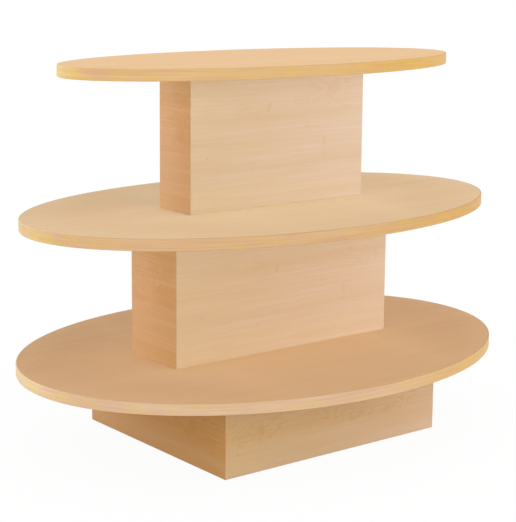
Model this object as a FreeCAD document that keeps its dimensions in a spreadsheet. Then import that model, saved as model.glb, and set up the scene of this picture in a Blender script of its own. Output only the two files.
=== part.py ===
import FreeCAD, Part
import os

import Sketcher

# Tiered display table: three oval shelves, one above another, carried by a plinth and two box risers.
#
# Millimetres. The origin is on the floor under the middle of the table, X runs along the long axis
# of the shelves, Y from front to back and Z up. The table is symmetrical about the planes X = 0 and
# Y = 0, so most pieces are made once, at the front or the left, and mirrored.
#
# It goes together upside down on the bench. Each box is four mitred panels glued round battens. Its
# top battens are screwed up into the shelf above it, and its bottom battens hold threaded inserts for
# bolts that come through the shelf below, whose heads end up inside the next box down. The plinth has
# corner posts in place of bottom battens, and a levelling foot is threaded into each post.

Vector = FreeCAD.Vector
Rotation = FreeCAD.Rotation
ALONG_X = Vector(1, 0, 0)
ALONG_Y = Vector(0, 1, 0)
UPWARD = Rotation()
FORWARD = Rotation(ALONG_X, 90)  # turns a piece that points up so that it points to the front
LEFTWARD = Rotation(ALONG_Y, -90)  # and so that it points to the left

doc = FreeCAD.newDocument("tiered_display_table")
sheet = doc.addObject("Spreadsheet::Sheet", "sizes")
sub_parts = {}  # label: (object, number of solids)


# ---------------------------------------------------------------- driving sizes

SIZES = {
    # the table's length, which its two lower shelves share, and the depth of its bottom shelf
    "table_length": 1524,
    "table_depth": 1124,
    # the other shelves, the board that all are cut from, and the band glued round each edge
    "middle_depth": 944,
    "top_length": 1322,
    "top_depth": 612,
    "shelf_thick": 32,
    "band_thick": 3,
    "band_round": 2,
    "glue_line": 0.1,
    # boxes, measured outside
    "upper_length": 626,
    "upper_depth": 148,
    "upper_height": 385,
    "lower_length": 772,
    "lower_depth": 220,
    "lower_height": 385,
    "plinth_length": 768,
    "plinth_depth": 666,
    "plinth_height": 223,
    "panel_thick": 18,
    # square battens inside the boxes, and the plinth's posts and stretcher
    "batten_size": 25,
    "batten_end_gap": 5,
    "post_size": 50,
    "stretcher_thick": 18,
    "stretcher_height": 150,
    "housing_depth": 6,
    # countersunk wood screws
    "screw_diameter": 4.5,
    "screw_head": 9,
    "screw_drive": 3,
    "screw_drive_depth": 2,
    "screw_clearance": 0.15,
    "shelf_bite": 15,
    "panel_bite": 10,
    "shelf_screw_inset": 40,
    "panel_screw_inset": 150,
    "post_screw_drop": 75,
    "post_screw_step": 50,
    # bolts, washers and threaded inserts between a riser and the shelf below it
    "bolt_diameter": 6,
    "bolt_flats": 10,
    "bolt_head": 4,
    "bolt_bite": 12,
    "bolt_clearance": 0.5,
    "bolt_inset": 100,
    "washer_diameter": 12,
    "washer_thick": 1.6,
    "insert_diameter": 9,
    "insert_length": 15,
    "insert_clearance": 0.15,
    # levelling feet
    "foot_lift": 3,
    "foot_pad_diameter": 40,
    "foot_pad_height": 8,
    "foot_pad_floor": 2.4,
    "foot_pad_round": 1.5,
    "swivel_diameter": 16,
    "swivel_thick": 3,
    "stud_diameter": 8,
    "stud_length": 32,
    "stud_room": 5,
    "collar_flats": 13,
    "collar_height": 5,
    "foot_insert_diameter": 12,
    "foot_insert_length": 20,
    "thread_clearance": 0.1,
    "foot_clearance": 0.3,
}

for row, (alias, value) in enumerate(SIZES.items(), start=1):
    sheet.set(f"A{row}", alias)
    sheet.set(f"B{row}", str(value))
    sheet.setAlias(f"B{row}", alias)
doc.recompute()


def millimetres(expression):
    """Return what an expression on the sheet comes to."""
    return float(sheet.evalExpression(expression))


# ---------------------------------------------------------------- heights and places that follow

PLINTH_BASE = "sizes.foot_lift"
BOTTOM_SHELF_BASE = f"({PLINTH_BASE} + sizes.plinth_height)"
LOWER_RISER_BASE = f"({BOTTOM_SHELF_BASE} + sizes.shelf_thick)"
MIDDLE_SHELF_BASE = f"({LOWER_RISER_BASE} + sizes.lower_height)"
UPPER_RISER_BASE = f"({MIDDLE_SHELF_BASE} + sizes.shelf_thick)"
TOP_SHELF_BASE = f"({UPPER_RISER_BASE} + sizes.upper_height)"

COLLAR_BASE = "(sizes.foot_pad_height + sizes.foot_clearance)"
STUD_BASE = f"({COLLAR_BASE} + sizes.collar_height)"
POST_BASE = f"({STUD_BASE} + sizes.foot_clearance)"


class Box:
    """The outside of a box of four panels and what is worked out from it, as expressions."""

    def __init__(self, name, base):
        self.name = name
        self.length = f"sizes.{name}_length"
        self.depth = f"sizes.{name}_depth"
        self.height = f"sizes.{name}_height"
        self.inner_x = f"({self.length} / 2 - sizes.panel_thick)"
        self.inner_y = f"({self.depth} / 2 - sizes.panel_thick)"
        self.batten_y = f"({self.inner_y} - sizes.batten_size / 2)"
        self.base = base
        self.top = f"({base} + {self.height})"


PLINTH = Box("plinth", PLINTH_BASE)
LOWER_RISER = Box("lower", LOWER_RISER_BASE)
UPPER_RISER = Box("upper", UPPER_RISER_BASE)

POST_X = f"({PLINTH.inner_x} - sizes.post_size / 2)"
POST_Y = f"({PLINTH.inner_y} - sizes.post_size / 2)"


# ---------------------------------------------------------------- ways of making a piece

def add(kind, name, bound=None, **plain):
    """Add an object, set its plain properties and tie the others to expressions on the sheet."""
    piece = doc.addObject(kind, name)
    for key, value in plain.items():
        setattr(piece, key, value)
    for key, expression in (bound or {}).items():
        piece.setExpression(key, expression)
    return piece


def place(piece, x, y, z, turn=UPWARD):
    """Put a piece where three expressions say, turned from pointing up."""
    piece.Placement = FreeCAD.Placement(Vector(), turn)
    for axis, expression in zip("xyz", (x, y, z)):
        piece.setExpression(f"Placement.Base.{axis}", expression)
    return piece


def publish(label, piece, solids=1):
    """Name a finished sub-part, and note how many solids it has."""
    piece.Label = label
    sub_parts[label] = (piece, solids)
    return piece


def mirrored(piece, normal):
    """Return the same piece on the other side of the plane through the origin."""
    return add("Part::Mirroring", "mirrored", Source=piece, Normal=normal)


def at_both_ends(pieces):
    return pieces + [mirrored(piece, ALONG_X) for piece in pieces]


def at_both_sides(pieces):
    return pieces + [mirrored(piece, ALONG_Y) for piece in pieces]


def at_four_corners(pieces):
    return at_both_sides(at_both_ends(pieces))


def together(name, pieces):
    return add("Part::Compound", name, Links=pieces)


def fused(name, pieces):
    return add("Part::MultiFuse", name, Shapes=pieces, Refine=True)


def cut(name, blank, tools):
    """Return the blank with every tool cut out of it."""
    return add("Part::Cut", name, Base=blank, Tool=together(f"{name}_tools", tools))


def block(name, length, width, height):
    return add("Part::Box", name, {"Length": length, "Width": width, "Height": height})


def rod(name, diameter, height):
    return add("Part::Cylinder", name, {"Radius": f"({diameter}) / 2", "Height": height})


def hexagon(name, flats, height):
    """A hexagonal prism, by the distance across its flats."""
    return add("Part::Prism", name, {"Circumradius": f"{flats} / sqrt(3)", "Height": height}, Polygon=6)


def tube(name, outside, inside, height):
    return cut(name, rod(f"{name}_outside", outside, height), [rod(f"{name}_inside", inside, height)])


def sketch_on(body, role, name):
    """Start a sketch on one of the body's own origin planes."""
    sketch = body.newObject("Sketcher::SketchObject", name)
    plane = next(feature for feature in body.Origin.OriginFeatures if feature.Role == role)
    sketch.AttachmentSupport = (plane, [""])
    sketch.MapMode = "FlatFace"
    return sketch


def dimension(sketch, name, expression, *constraint):
    """Add a constraint to a sketch, with its value tied to an expression."""
    index = sketch.addConstraint(Sketcher.Constraint(*constraint, millimetres(expression)))
    sketch.renameConstraint(index, name)
    sketch.setExpression(f"Constraints.{name}", expression)


def draw_outline(sketch, corners):
    """Draw a closed outline of straight lines, each corner held by its distances from the origin."""
    points = [Vector(millimetres(x), millimetres(y), 0) for x, y in corners]
    for start, end in zip(points, points[1:] + points[:1]):
        sketch.addGeometry(Part.LineSegment(start, end))
    for line, (x, y) in enumerate(corners):
        line_before = (line - 1) % len(corners)
        sketch.addConstraint(Sketcher.Constraint("Coincident", line_before, 2, line, 1))
        dimension(sketch, f"corner_{line}_across", x, "DistanceX", -1, 1, line, 1)
        dimension(sketch, f"corner_{line}_along", y, "DistanceY", -1, 1, line, 1)


def draw_oval(sketch, name, length, depth):
    """Draw an ellipse about the origin, by its length and depth."""
    oval = sketch.GeometryCount
    end = Vector(millimetres(length) / 2, 0, 0)
    side = Vector(0, millimetres(depth) / 2, 0)
    sketch.addGeometry(Part.Ellipse(end, side, Vector()))
    sketch.exposeInternalGeometry(oval)
    long_axis, short_axis = oval + 1, oval + 2
    sketch.addConstraint(Sketcher.Constraint("Coincident", oval, 3, -1, 1))
    sketch.addConstraint(Sketcher.Constraint("Horizontal", long_axis))
    dimension(sketch, f"{name}_length", length, "Distance", long_axis)
    dimension(sketch, f"{name}_depth", depth, "Distance", short_axis)


def pad_up(body, sketch, height):
    pad = body.newObject("PartDesign::Pad", "pad")
    pad.Profile = sketch
    pad.setExpression("Length", height)
    return pad


def round_rims(body, feature, radius, least_length):
    """Round the closed edges of a feature that reach further along X than a least length."""
    doc.recompute()
    least = millimetres(least_length)
    rims = [f"Edge{number}" for number, edge in enumerate(feature.Shape.Edges, start=1)
            if edge.isClosed() and edge.BoundBox.XLength > least]
    fillet = body.newObject("PartDesign::Fillet", "round")
    fillet.Base = (feature, rims)
    fillet.setExpression("Radius", radius)


# ---------------------------------------------------------------- fasteners

def wood_screw(name, length):
    """A countersunk wood screw that points up, with the flat of its head at the origin."""
    cone_height = "(sizes.screw_head - sizes.screw_diameter) / 2"
    point_height = "sizes.screw_diameter"
    head = add("Part::Cone", f"{name}_head", {
        "Radius1": "sizes.screw_head / 2", "Radius2": "sizes.screw_diameter / 2", "Height": cone_height})
    shank = rod(f"{name}_shank", "sizes.screw_diameter", f"{length} - {point_height}")
    point = add("Part::Cone", f"{name}_point", {
        "Radius1": "sizes.screw_diameter / 2", "Height": point_height}, Radius2=0)
    place(point, "0", "0", f"{length} - {point_height}")
    drive = hexagon(f"{name}_drive", "sizes.screw_drive", "sizes.screw_drive_depth")
    return cut(name, fused(f"{name}_blank", [head, shank, point]), [drive])


def screw_hole(name, length):
    """The countersunk hole that a wood screw sits in, a clearance larger all round."""
    head_radius = "(sizes.screw_head / 2 + sizes.screw_clearance)"
    hole_radius = "(sizes.screw_diameter / 2 + sizes.screw_clearance)"
    head = add("Part::Cone", f"{name}_countersink", {
        "Radius1": head_radius, "Radius2": hole_radius, "Height": f"{head_radius} - {hole_radius}"})
    return fused(name, [head, rod(f"{name}_pilot", f"2 * {hole_radius}", f"{length} + sizes.screw_clearance")])


def screw_at(name, length, x, y, z, turn=UPWARD):
    """Return a wood screw and its hole, both at one place."""
    screw = place(wood_screw(name, length), x, y, z, turn)
    hole = place(screw_hole(f"{name}_hole", length), x, y, z, turn)
    return screw, hole


def hex_bolt(name, length):
    """A hexagon bolt that points up, with the underside of its head at the origin."""
    head = hexagon(f"{name}_head", "sizes.bolt_flats", "sizes.bolt_head")
    place(head, "0", "0", "-sizes.bolt_head")
    return fused(name, [head, rod(f"{name}_shank", "sizes.bolt_diameter", length)])


# ---------------------------------------------------------------- shelves

def make_shelf(name, length, depth, base, holes):
    """An oval board and the band glued round its edge, with holes bored from below."""
    to_band = "2 * sizes.band_thick"
    to_board = "2 * (sizes.band_thick + sizes.glue_line)"

    blank = doc.addObject("PartDesign::Body", f"{name}_shelf_blank")
    oval = sketch_on(blank, "XY_Plane", "oval")
    draw_oval(oval, "board", f"{length} - {to_board}", f"{depth} - {to_board}")
    pad_up(blank, oval, "sizes.shelf_thick")
    place(blank, "0", "0", base)
    publish(f"{name}_shelf_board", cut(f"{name}_shelf_bored", blank, holes))

    band = doc.addObject("PartDesign::Body", f"{name}_shelf_band")
    ring = sketch_on(band, "XY_Plane", "ring")
    draw_oval(ring, "outside", length, depth)
    draw_oval(ring, "inside", f"{length} - {to_band}", f"{depth} - {to_band}")
    pad = pad_up(band, ring, "sizes.shelf_thick")
    round_rims(band, pad, "sizes.band_round", f"{length} - sizes.band_thick")
    place(band, "0", "0", base)
    publish(f"{name}_shelf_edge_band", band)


# ---------------------------------------------------------------- pieces that every box has

def mitred_blank(name, corners, box):
    """A panel standing on its own outline, which is cut back at 45 degrees at both ends."""
    blank = doc.addObject("PartDesign::Body", name)
    outline = sketch_on(blank, "XY_Plane", "mitred_outline")
    draw_outline(outline, corners)
    pad_up(blank, outline, box.height)
    return place(blank, "0", "0", box.base)


def make_panels(box, name, front_holes, left_holes):
    """The four panels of a box, with blind holes from inside."""
    outer_x, outer_y = f"{box.length} / 2", f"{box.depth} / 2"
    inner_x, inner_y = box.inner_x, box.inner_y
    front_blank = mitred_blank(f"{name}_front_blank", [
        (f"-{outer_x}", f"-{outer_y}"), (outer_x, f"-{outer_y}"),
        (inner_x, f"-{inner_y}"), (f"-{inner_x}", f"-{inner_y}")], box)
    left_blank = mitred_blank(f"{name}_left_blank", [
        (f"-{outer_x}", f"-{outer_y}"), (f"-{inner_x}", f"-{inner_y}"),
        (f"-{inner_x}", inner_y), (f"-{outer_x}", outer_y)], box)
    front = cut(f"{name}_front_bored", front_blank, front_holes)
    left = cut(f"{name}_left_bored", left_blank, left_holes) if left_holes else left_blank
    publish(f"{name}_front_panel", front)
    publish(f"{name}_back_panel", mirrored(front, ALONG_Y))
    publish(f"{name}_left_panel", left)
    publish(f"{name}_right_panel", mirrored(left, ALONG_X))


def make_battens(box, label, half_length, z, holes):
    """A square batten along the inside of the front panel, and another along the back."""
    blank = block(f"{label}_blank", f"2 * {half_length}", "sizes.batten_size", "sizes.batten_size")
    place(blank, f"-{half_length}", f"-{box.inner_y}", z)
    front = cut(f"{label}_bored", blank, holes)
    publish(f"{label}_front", front)
    publish(f"{label}_back", mirrored(front, ALONG_Y))


def batten_screws(box, name, half_length, z):
    """Screws level with z that hold the battens to the front and back panels."""
    x = f"-({half_length} - sizes.panel_screw_inset)"
    y = f"-({box.inner_y} - sizes.batten_size)"
    screw, hole = screw_at(name, "sizes.batten_size + sizes.panel_bite", x, y, z, FORWARD)
    return at_four_corners([screw]), at_both_ends([hole])


def shelf_screws(box, name, half_length):
    """Screws up through the top battens into the shelf above."""
    x = f"-({half_length} - sizes.shelf_screw_inset)"
    z = f"{box.top} - sizes.batten_size"
    screw, hole = screw_at(name, "sizes.batten_size + sizes.shelf_bite", x, f"-{box.batten_y}", z)
    publish(name, together(f"{name}_set", at_four_corners([screw])), solids=4)
    return at_both_ends([hole])


# ---------------------------------------------------------------- risers

def make_riser(box):
    """A box riser. Returns the holes for the shelf above it and those for the shelf below it."""
    name = f"{box.name}_riser"
    half_length = f"({box.inner_x} - sizes.batten_end_gap)"
    top_z = f"({box.top} - sizes.batten_size)"

    holes_above = shelf_screws(box, f"{name}_shelf_screws", half_length)
    top_screws, top_holes = batten_screws(
        box, f"{name}_top_screw", half_length, f"{top_z} + sizes.batten_size / 2")
    low_screws, low_holes = batten_screws(
        box, f"{name}_bottom_screw", half_length, f"{box.base} + sizes.batten_size / 2")
    publish(f"{name}_batten_screws", together(f"{name}_screw_set", top_screws + low_screws), solids=8)

    # bolts up through the shelf below, into inserts in the bottom battens
    bolt_x, bolt_y = f"-({half_length} - sizes.bolt_inset)", f"-{box.batten_y}"
    shelf_under = f"{box.base} - sizes.shelf_thick"
    washer_under = f"{shelf_under} - sizes.washer_thick"
    bolt = hex_bolt(f"{name}_bolt", "sizes.washer_thick + sizes.shelf_thick + sizes.bolt_bite")
    washer = tube(f"{name}_washer", "sizes.washer_diameter",
                  "sizes.bolt_diameter + sizes.bolt_clearance", "sizes.washer_thick")
    insert = tube(f"{name}_insert", "sizes.insert_diameter",
                  "sizes.bolt_diameter + 2 * sizes.insert_clearance", "sizes.insert_length")
    insert_hole = rod(f"{name}_insert_hole",
                      "(sizes.insert_diameter + 2 * sizes.insert_clearance)", "sizes.batten_size")
    bolt_hole = rod(f"{name}_bolt_hole",
                    "(sizes.bolt_diameter + 2 * sizes.bolt_clearance)", "sizes.shelf_thick")
    place(bolt, bolt_x, bolt_y, washer_under)
    place(washer, bolt_x, bolt_y, washer_under)
    place(insert, bolt_x, bolt_y, box.base)
    place(insert_hole, bolt_x, bolt_y, box.base)
    place(bolt_hole, bolt_x, bolt_y, shelf_under)
    publish(f"{name}_bolts", together(f"{name}_bolt_set", at_four_corners([bolt])), solids=4)
    publish(f"{name}_washers", together(f"{name}_washer_set", at_four_corners([washer])), solids=4)
    publish(f"{name}_inserts", together(f"{name}_insert_set", at_four_corners([insert])), solids=4)

    make_battens(box, f"{name}_top_batten", half_length, top_z, holes_above + top_holes)
    make_battens(box, f"{name}_bottom_batten", half_length, box.base,
                 low_holes + at_both_ends([insert_hole]))
    make_panels(box, name, top_holes + low_holes, [])
    return at_both_sides(holes_above), at_four_corners([bolt_hole])


# ---------------------------------------------------------------- plinth

def make_stretcher(box):
    """A board across the middle of the plinth, notched round the battens and housed in the panels."""
    body = doc.addObject("PartDesign::Body", "stretcher_body")
    outline = sketch_on(body, "YZ_Plane", "notched_outline")
    end_y = f"({box.inner_y} + sizes.housing_depth)"
    notch_y = f"({box.inner_y} - sizes.batten_size)"
    notch_z = "(sizes.stretcher_height - sizes.batten_size)"
    draw_outline(outline, [
        (f"-{end_y}", "0"), (end_y, "0"), (end_y, notch_z), (notch_y, notch_z),
        (notch_y, "sizes.stretcher_height"), (f"-{notch_y}", "sizes.stretcher_height"),
        (f"-{notch_y}", notch_z), (f"-{end_y}", notch_z)])
    pad_up(body, outline, "sizes.stretcher_thick")
    under = f"{box.top} - sizes.stretcher_height"
    place(body, "-sizes.stretcher_thick / 2", "0", under)
    publish("plinth_stretcher", body)
    housing = block("stretcher_housing", "sizes.stretcher_thick", "sizes.housing_depth", notch_z)
    return place(housing, "-sizes.stretcher_thick / 2", f"-{end_y}", under)


def publish_at_corners(name, piece):
    """Name a piece made at the front left, and its mirrored copies at the other three corners."""
    back = mirrored(piece, ALONG_Y)
    publish(f"{name}_front_left", piece)
    publish(f"{name}_front_right", mirrored(piece, ALONG_X))
    publish(f"{name}_back_left", back)
    publish(f"{name}_back_right", mirrored(back, ALONG_X))


def make_plinth(box):
    """The plinth with its corner posts. Returns the holes for the shelf above it."""
    half_length = f"({POST_X} - sizes.post_size / 2 - sizes.batten_end_gap)"
    top_z = f"({box.top} - sizes.batten_size)"
    holes_above = shelf_screws(box, "plinth_shelf_screws", half_length)
    screws, batten_holes = batten_screws(
        box, "plinth_batten_screw", half_length, f"{top_z} + sizes.batten_size / 2")
    publish("plinth_batten_screws", together("plinth_batten_screw_set", screws), solids=4)
    make_battens(box, "plinth_batten", half_length, top_z, holes_above + batten_holes)

    # each post is held by a screw into the front or back panel and one into the end panel
    post_screw_length = "sizes.post_size + sizes.panel_bite"
    forward_z = f"{box.top} - sizes.post_screw_drop"
    leftward_z = f"{forward_z} - sizes.post_screw_step"
    forward_screw, forward_hole = screw_at(
        "post_screw_forward", post_screw_length,
        f"-{POST_X}", f"-({POST_Y} - sizes.post_size / 2)", forward_z, FORWARD)
    leftward_screw, leftward_hole = screw_at(
        "post_screw_leftward", post_screw_length,
        f"-({POST_X} - sizes.post_size / 2)", f"-{POST_Y}", leftward_z, LEFTWARD)
    post_screws = at_four_corners([forward_screw, leftward_screw])
    publish("plinth_post_screws", together("post_screw_set", post_screws), solids=8)

    insert_hole = rod("foot_insert_hole", "(sizes.foot_insert_diameter + 2 * sizes.insert_clearance)",
                      "sizes.foot_insert_length")
    stud_hole = rod("stud_hole", "(sizes.stud_diameter + 2 * sizes.bolt_clearance)",
                    "sizes.stud_length + sizes.stud_room")
    for hole in (insert_hole, stud_hole):
        place(hole, f"-{POST_X}", f"-{POST_Y}", POST_BASE)
    post = block("post_blank", "sizes.post_size", "sizes.post_size", f"{box.top} - {POST_BASE}")
    place(post, f"-{box.inner_x}", f"-{box.inner_y}", POST_BASE)
    publish_at_corners("plinth_post", cut("post_bored", post, [
        insert_hole, stud_hole, forward_hole, leftward_hole]))

    housing = make_stretcher(box)
    make_panels(box, "plinth", batten_holes + at_both_ends([forward_hole]) + [housing],
                at_both_sides([leftward_hole]))
    return at_both_sides(holes_above)


# ---------------------------------------------------------------- levelling feet

def make_foot_pad():
    """A round pad with a hollow in which the end of the stud turns."""
    body = doc.addObject("PartDesign::Body", "foot_pad_body")
    profile = sketch_on(body, "XZ_Plane", "half_section")
    rim = "sizes.foot_pad_diameter / 2"
    neck = "(sizes.stud_diameter / 2 + sizes.foot_clearance)"
    hollow = "(sizes.swivel_diameter / 2 + sizes.foot_clearance)"
    hollow_top = "(sizes.foot_pad_floor + sizes.swivel_thick + 2 * sizes.foot_clearance)"
    draw_outline(profile, [
        ("0", "0"), (rim, "0"), (rim, "sizes.foot_pad_height"), (neck, "sizes.foot_pad_height"),
        (neck, hollow_top), (hollow, hollow_top), (hollow, "sizes.foot_pad_floor"),
        ("0", "sizes.foot_pad_floor")])
    turned = body.newObject("PartDesign::Revolution", "turned")
    turned.Profile = profile
    turned.ReferenceAxis = (profile, ["V_Axis"])
    round_rims(body, turned, "sizes.foot_pad_round", "sizes.foot_pad_diameter - sizes.foot_pad_round")
    return body


def make_stud():
    """A threaded stud with a turned end below and a hexagon collar to turn it by."""
    end_base = "(sizes.foot_pad_floor + sizes.foot_clearance)"
    end = rod("stud_end", "sizes.swivel_diameter", "sizes.swivel_thick")
    stem = rod("stud_stem", "sizes.stud_diameter", f"{STUD_BASE} + sizes.stud_length - {end_base}")
    collar = hexagon("stud_collar", "sizes.collar_flats", "sizes.collar_height")
    place(end, "0", "0", end_base)
    place(stem, "0", "0", end_base)
    place(collar, "0", "0", COLLAR_BASE)
    return fused("stud", [end, stem, collar])


def make_feet():
    insert = tube("foot_insert", "sizes.foot_insert_diameter",
                  "(sizes.stud_diameter + 2 * sizes.thread_clearance)", "sizes.foot_insert_length")
    place(insert, f"-{POST_X}", f"-{POST_Y}", POST_BASE)
    publish("foot_inserts", together("foot_insert_set", at_four_corners([insert])), solids=4)
    publish_at_corners("foot_pad", place(make_foot_pad(), f"-{POST_X}", f"-{POST_Y}", "0"))
    publish_at_corners("foot_stud", place(make_stud(), f"-{POST_X}", f"-{POST_Y}", "0"))


# ---------------------------------------------------------------- the whole table

def write_sub_parts():
    """Check the whole document, then write each sub-part to its own file."""
    doc.recompute()
    failed = [piece.Label for piece in doc.Objects if {"Invalid", "Error"} & set(piece.State)]
    assert not failed, f"failed objects: {failed}"
    for label, (piece, solids) in sub_parts.items():
        assert not piece.Shape.isNull() and piece.Shape.isValid(), f"{label} has no valid shape"
        assert len(piece.Shape.Solids) == solids, f"{label} has {len(piece.Shape.Solids)} solids"
        assert all(solid.Volume > 0 for solid in piece.Shape.Solids), f"{label} is inside out"
    os.makedirs("parts", exist_ok=True)
    for label, (piece, solids) in sub_parts.items():
        piece.Shape.exportStep(f"parts/{label}.step")
        print(f"{label}: {solids} solid(s), {piece.Shape.Volume / 1000:.1f} cm3")
    print(len(sub_parts), "sub-parts")


holes_from_plinth = make_plinth(PLINTH)
holes_from_lower, bolt_holes_in_bottom = make_riser(LOWER_RISER)
holes_from_upper, bolt_holes_in_middle = make_riser(UPPER_RISER)
make_shelf("bottom", "sizes.table_length", "sizes.table_depth", BOTTOM_SHELF_BASE,
           holes_from_plinth + bolt_holes_in_bottom)
make_shelf("middle", "sizes.table_length", "sizes.middle_depth", MIDDLE_SHELF_BASE,
           holes_from_lower + bolt_holes_in_middle)
make_shelf("top", "sizes.top_length", "sizes.top_depth", TOP_SHELF_BASE, holes_from_upper)
make_feet()
write_sub_parts()
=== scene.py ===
# %% [markdown]
# # A tiered oval display table
#
# Three oval shelves of maple laminate stand one above another, carried by a plinth and two slim boxes.
# The packed table is loaded first. It holds every piece at its real size, in metres, with the origin on
# the floor under the middle of the table, X along the shelves and Y from front to back. What is modelled
# here takes its place and its size from those pieces, so nothing has to be fitted by eye.

import math

import bmesh
import bpy
from mathutils import Matrix, Vector


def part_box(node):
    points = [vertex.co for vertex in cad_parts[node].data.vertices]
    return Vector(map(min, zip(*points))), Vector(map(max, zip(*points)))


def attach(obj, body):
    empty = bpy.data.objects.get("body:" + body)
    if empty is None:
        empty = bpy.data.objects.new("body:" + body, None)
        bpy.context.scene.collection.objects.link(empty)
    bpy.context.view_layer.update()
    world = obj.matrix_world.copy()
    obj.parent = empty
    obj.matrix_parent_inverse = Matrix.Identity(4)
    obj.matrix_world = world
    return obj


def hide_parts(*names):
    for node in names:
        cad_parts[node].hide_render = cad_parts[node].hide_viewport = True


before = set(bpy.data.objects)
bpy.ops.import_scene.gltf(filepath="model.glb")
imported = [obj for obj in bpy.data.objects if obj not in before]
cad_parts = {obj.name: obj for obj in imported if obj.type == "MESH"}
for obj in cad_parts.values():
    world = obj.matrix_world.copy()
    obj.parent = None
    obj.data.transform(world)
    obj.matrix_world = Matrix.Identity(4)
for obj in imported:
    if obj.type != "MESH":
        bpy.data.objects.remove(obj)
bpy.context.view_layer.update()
TIERS = ("bottom", "middle", "top")
BOXES = ("plinth", "lower_riser", "upper_riser")

# %% [markdown]
# ## The camera
#
# The table is seen from a little above, round to its left, so that each box shows its wide front and its
# narrow end. A long lens from over four metres keeps the shelves' ovals nearly true. The camera is turned
# by its own three directions, which is plainer than three angles, and the picture is shifted a little so
# that the table sits in the middle without tilting the camera.

# %% Set up the camera
PICTURE_WIDTH, PICTURE_HEIGHT = 516, 522
AZIMUTH, ELEVATION, ROLL = -38.34, 10.50, math.radians(0.53)
DISTANCE, TARGET = 4.4583, Vector((0, 0, 0.5905))
FOCAL_PIXELS, MIDDLE_PIXEL = 1529.0, (263.1, 229.7)
SENSOR_WIDTH = 36.0  # millimetres


def direction(azimuth, elevation):
    """From the table to a place round it, in degrees, where 0 is straight in front and level."""
    turn, rise = math.radians(azimuth), math.radians(elevation)
    return Vector((math.sin(turn) * math.cos(rise), -math.cos(turn) * math.cos(rise), math.sin(rise)))


back, level = direction(AZIMUTH, ELEVATION), direction(AZIMUTH + 90, 0)
upright = back.cross(level)
right = math.cos(ROLL) * level + math.sin(ROLL) * upright
up = math.cos(ROLL) * upright - math.sin(ROLL) * level

bpy.ops.object.camera_add()
camera = bpy.context.object
camera.matrix_world = (Matrix.Translation(TARGET + DISTANCE * back)
                       @ Matrix((right, up, back)).transposed().to_4x4())
camera.data.sensor_width = SENSOR_WIDTH
camera.data.lens = FOCAL_PIXELS * SENSOR_WIDTH / PICTURE_HEIGHT
camera.data.shift_x = (PICTURE_WIDTH / 2 - MIDDLE_PIXEL[0]) / PICTURE_HEIGHT
camera.data.shift_y = (MIDDLE_PIXEL[1] - PICTURE_HEIGHT / 2) / PICTURE_HEIGHT
bpy.context.scene.camera = camera
print("camera at", [round(part, 2) for part in camera.location], "lens", round(camera.data.lens, 1), "mm")

# %% [markdown]
# ## Finishes as sums
#
# Every finish here is made of nodes, and a grain is really a small sum: a noise, stretched, cut off below
# some level and mixed into a colour. Written as nodes, such a sum is long and hard to read. So one small
# class holds the output of a node and lets it stand in an ordinary Python sum, and each `+` or `*` adds
# the Math node for it. Colours and vectors go through Mix and Vector Math, because Math would turn them
# into plain numbers.

# %% A value that varies over a surface
def linear(red, green, blue):
    """Turn a colour as a screen shows it, 0 to 255, into the light that Blender works with."""
    shares = (channel / 255 for channel in (red, green, blue))
    return tuple(share / 12.92 if share <= 0.04045 else ((share + 0.055) / 1.055) ** 2.4
                 for share in shares) + (1.0,)


class Value:
    """A node's output that can stand in a Python sum."""

    def __init__(self, nodes, socket):
        self.nodes, self.socket = nodes, socket

    def math(self, operation, *values):
        """Add the Math node for an operation on some values."""
        return self.nodes.node("ShaderNodeMath", {"operation": operation}, dict(enumerate(values)))

    def __add__(self, other):
        return self.math("ADD", self, other)

    def __radd__(self, other):
        return self.math("ADD", other, self)

    def __sub__(self, other):
        return self.math("SUBTRACT", self, other)

    def __rsub__(self, other):
        return self.math("SUBTRACT", other, self)

    def __mul__(self, other):
        return self.math("MULTIPLY", self, other)

    def __rmul__(self, other):
        return self.math("MULTIPLY", other, self)

    def __truediv__(self, other):
        return self.math("DIVIDE", self, other)

    def __rtruediv__(self, other):
        return self.math("DIVIDE", other, self)

    def __pow__(self, other):
        return self.math("POWER", self, other)

    def __abs__(self):
        return self.math("ABSOLUTE", self)

    def larger(self, other):
        return self.math("MAXIMUM", self, other)

    def turn_from(self, other):
        return self.math("ARCTAN2", self, other)

    def there_and_back(self):
        """A number that runs up from 0 to 1 and down again, over and over."""
        return self.math("PINGPONG", self, 1.0)

    def rise(self, low, high):
        """0 below low, 1 above high, and a smooth step in between."""
        return self.nodes.node("ShaderNodeMapRange", {"interpolation_type": "SMOOTHSTEP"},
                               {"Value": self, "From Min": low, "From Max": high})

    def fall(self, low, high):
        """1 below low, 0 above high, and a smooth step in between."""
        return 1 - self.rise(low, high)


def apart(x, y):
    """How far apart two points are that differ by x one way and by y across it."""
    return (x ** 2 + y ** 2) ** 0.5


print("a mid grey of 128 is", round(linear(128, 128, 128)[0], 3), "as light")

# %% [markdown]
# A material is a tree of such nodes, and so is the background of the room. One method adds any node: its
# settings come first, because they decide which sockets it has, and then a value or a link for each
# socket. The methods below it are the steps that many finishes share.

# %% A tree of nodes, and a material
class Nodes:
    """A tree of nodes, and one method that adds any node to it."""

    def __init__(self, tree):
        self.tree = tree

    def node(self, kind, settings=None, inputs=None, output=0):
        """Add a node: its settings first, then a value or a link for each of its sockets."""
        made = self.tree.nodes.new(kind)
        for setting, choice in (settings or {}).items():
            setattr(made, setting, choice)
        for socket, value in (inputs or {}).items():
            self.plug(value, made.inputs[socket])
        return Value(self, made.outputs[output])

    def plug(self, value, socket):
        """Link a value to a socket, or write a plain number into it."""
        if isinstance(value, Value):
            self.tree.links.new(value.socket, socket)
        else:
            socket.default_value = value


def three(numbers):
    """A number for each axis, also where one is given for all."""
    return numbers if isinstance(numbers, tuple) else (numbers,) * 3


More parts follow.
